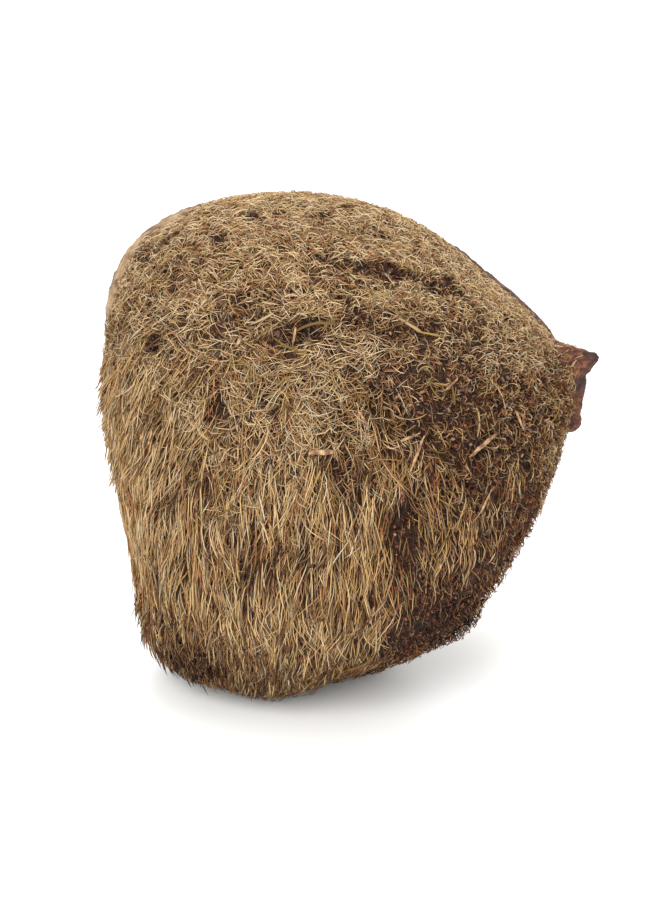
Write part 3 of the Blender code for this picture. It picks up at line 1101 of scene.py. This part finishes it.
def lay_straws(husk, material, template):
    """The loose straws: those listed, and more of them at random over the tangle and all round."""
    rng = np.random.default_rng(SEED + 50)
    across, height, angle, lengths, bows, thicks = np.array(STRAWS).T
    starts = np.array([husk.front(*place) for place in zip(across, height)])
    angle = np.radians(angle)
    ways = np.stack([np.cos(angle), 0 * angle, np.sin(angle)], axis=1)
    more = husk.scatter(MORE_STRAWS * 3, rng)
    in_tangle = (1 - low(more)) * (1 - high(more))
    more = more[rng.random(len(more)) < 0.25 + 0.75 * in_tangle][:MORE_STRAWS]
    normal = husk.normal(more)
    starts = np.concatenate([starts, more])
    ways = np.concatenate([ways, np.cross(normal, unit(rng.normal(size=normal.shape)))])
    lengths = np.concatenate([lengths, rng.uniform(4, 10, len(more))])
    bows = np.concatenate([np.radians(bows), rng.normal(0, 1.0, len(more))])
    thicks = np.concatenate([thicks, rng.uniform(0.2, 0.32, len(more))])
    at = husk.snap(starts)
    normal = husk.normal(at)
    way = unit(ways - normal * dot(ways, normal))
    arch = rng.uniform(0.2, 0.9, len(at))
    paths = np.zeros((len(at), STRAW_RINGS, 3))
    steps = STRAW_RINGS - 1
    for k in range(STRAW_RINGS):
        height = -0.5 + arch * math.sin(math.pi * (0.12 + 0.8 * k / steps))
        paths[:, k] = at + normal * height[:, None]
        at, way, normal = step_on(husk, at, way, normal, bows / steps, lengths / steps)
    paths[..., 2] = np.maximum(paths[..., 2], 0.4)
    tones = place_on_map(rng.uniform(0.25, 0.85, len(at)), (0.7, 0.3, 0, 0), rng)
    obj = make_mesh("loose_straws", *bend_fibres(template, paths, thicks, tones))
    finish_piece(obj, material)


# Splinters caught in the coat: side distance, band height, way in degrees, length, width.
SPLINTERS = [
    (29.0, 60.0, 30, 8.6, 1.3), (-6.0, 58.5, 2, 6.0, 1.7), (14.5, 58.0, 246, 9.0, 0.9),
    (37.5, 66.0, 110, 5.0, 0.9), (-24.0, 84.0, 72, 2.6, 1.1), (-12.0, 85.0, 84, 4.5, 0.8),
    (13.0, 62.0, 200, 5.0, 0.8), (3.0, 66.0, 120, 4.0, 0.9), (22.0, 74.0, 40, 4.5, 0.7),
    (-44.0, 62.0, 250, 4.0, 0.8), (5.0, 20.0, 262, 5.0, 0.8), (30.0, 47.0, 236, 6.0, 0.8),
]


def make_splinters(husk, material):
    """Flat slivers, each a bar with thinned ends, chipped a little and laid on the coat."""
    slivers = []
    for number, (x, height, way, length, width) in enumerate(SPLINTERS):
        place = husk.snap(husk.front(x, height)[None])[0]
        normal = Vector(husk.normal(place[None])[0])
        along = Vector((math.cos(math.radians(way)), 0, math.sin(math.radians(way))))
        aside = normal.cross(along).normalized()
        along = aside.cross(normal)
        bpy.ops.mesh.primitive_cube_add(size=1)
        sliver = bpy.context.object
        sliver.scale = (length * MM, 0.8 * width * MM, 0.4 * MM)
        settle(sliver)
        edit(sliver)
        pick(sliver, lambda e: abs(e.verts[0].co.x - e.verts[1].co.x) > 0.5 * length * MM, "EDGE")
        bpy.ops.mesh.subdivide(number_cuts=9)
        for end in (-1, 1):
            pick(sliver, lambda v: v.co.x * end > 0.49 * length * MM)
            bpy.ops.transform.resize(value=(1, 0.25, 0.3), center_override=(0, 0, 0))
            pick(sliver, lambda v: 0.3 * length * MM < v.co.x * end < 0.45 * length * MM)
            bpy.ops.transform.resize(value=(1, 0.7, 0.8), center_override=(0, 0, 0))
        done()
        round_off(sliver)
        roughen(sliver, 1.1 * MM, 0.5 * MM, f"chipped_{number}")
        apply_all(sliver)
        sliver.matrix_world = Matrix((along, aside, normal)).transposed().to_4x4()
        sliver.location = Vector(place) * MM + normal * 0.15 * MM
        settle(sliver)
        slivers.append(sliver)
    join(slivers)
    slivers[0].name = "splinters"
    finish_piece(slivers[0], material)


# ---------------------------------------------------------------- the stage


def set_stage():
    """A white floor in a white room, a strong softbox in front, and weaker ones beside, behind and above."""
    bpy.ops.mesh.primitive_circle_add(vertices=96, radius=4.0, fill_type="NGON", location=(0, 0, 0))
    floor = bpy.context.object
    floor.name = "white_floor"
    floor.data.materials.append(floor_material())
    world = bpy.data.worlds.new("white_room")
    bpy.context.scene.world = world
    world.use_nodes = True
    sky = world.node_tree.nodes["Background"]
    sky.inputs["Color"].default_value = linear("#ffffff")
    sky.inputs["Strength"].default_value = SKY_STRENGTH
    softbox("key_softbox", (-0.30, -0.90, 0.70), 0.6, 12)
    softbox("fill_softbox", (0.75, -0.60, 0.45), 0.6, 3)
    softbox("back_softbox", (0.35, 1.0, 0.60), 0.6, 4)
    softbox("top_softbox", (0.0, 0.15, 1.1), 0.7, 4)
    bpy.context.scene.view_settings.view_transform = "Standard"


def softbox(name, place, size, power):
    """A square lamp, its place and size in metres, turned to the middle of the husk."""
    light = bpy.data.lights.new(name, "AREA")
    light.shape = "SQUARE"
    light.size = size
    light.energy = power
    obj = bpy.data.objects.new(name, light)
    obj.location = place
    obj.rotation_euler = (Vector((0, 0, 0.05)) - Vector(place)).to_track_quat("-Z", "Y").to_euler()
    bpy.context.scene.collection.objects.link(obj)


def set_camera(box):
    """A long lens, looking down a little at the middle of the husk's box."""
    ahead = Vector(AHEAD)
    aim = Vector((0, 0, box[1].z / 2)) - Vector((AIM_LEFT, 0, 0)) - Vector(UP) * AIM_DOWN
    camera = bpy.data.objects.new("camera", bpy.data.cameras.new("camera"))
    camera.data.lens = CAMERA_LENS
    camera.data.sensor_width = 36.0
    camera.data.clip_start = 0.01
    camera.location = aim - ahead * CAMERA_AWAY
    camera.rotation_euler = ahead.to_track_quat("-Z", "Y").to_euler()
    bpy.context.scene.collection.objects.link(camera)
    bpy.context.scene.camera = camera


def main():
    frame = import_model()
    deselect_all()
    node = frame["nodes"]["coconut"]
    cad_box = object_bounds()
    husk = Husk(node)
    materials = {
        "golden": coir_material("golden_coir", ["#22130b", "#4f3019", "#7b5835", "#9f7d50", "#c1a175"]),
        "umber": coir_material("umber_coir", ["#1a0f0a", "#382114", "#573a26", "#735539", "#90755a"]),
        "straw": coir_material("straw_coir", ["#21150f", "#4b3020", "#785a3d", "#9d7f58", "#c2a984"]),
        "felt": coir_material("felted_coir", ["#281a12", "#553b29", "#846646", "#a98b64", "#cfb893"], 0.55),
        "rusty": coir_material("rusty_coir", ["#1d0f0b", "#432214", "#673d26", "#805a3f", "#997a5f"], 0.5),
        "singed": coir_material("singed_coir", ["#140c09", "#27170d", "#3d2617", "#4f3726", "#6b4f36"], 2.3),
        "olive": coir_material("olive_coir", ["#342815", "#57431f", "#755d2d", "#907749", "#a68f6e"], 0.9),
    }
    mat = make_mat(node)
    finish_piece(mat, pith_material())
    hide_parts("coconut")
    beak, tip = make_beak(husk)
    finish_piece(beak, shell_material(tip * MM))
    skin = skin_material()
    for name in SKINS:
        finish_piece(make_skin(husk, name), skin)
    make_splinters(husk, splinter_material())
    templates = {rings: model_fibre(rings) for rings in (4, 5, 6, STRAW_RINGS)}
    for coat in COATS:
        coat = {**COMMON, **coat}
        grow(husk, tip, coat, materials[coat["material"]], templates[coat["rings"]])
    lay_straws(husk, materials["olive"], templates[STRAW_RINGS])
    rust = coir_material("shell_crumb", ["#23120f", "#472519", "#6c3d27", "#84593b", "#a38a6c"], 1.0)
    dust = coir_material("dark_dust", ["#150e0b", "#261913", "#45312a", "#604a3e", "#866d5c"], 1.0)

    def above_thatch(places):
        """Above the thatch, and clear of the skin and the beak."""
        return (1 - low(places)) * (1 - on_skin(places, husk.middle)) * (1 - near_beak(places, tip))

    scatter_crumbs(husk, "shell_crumbs", dusty, rust)
    scatter_crumbs(husk, "dark_dust", dusty, dust)
    scatter_crumbs(husk, "pith_flakes", above_thatch, dust)
    set_stage()
    set_camera(cad_box)


main()
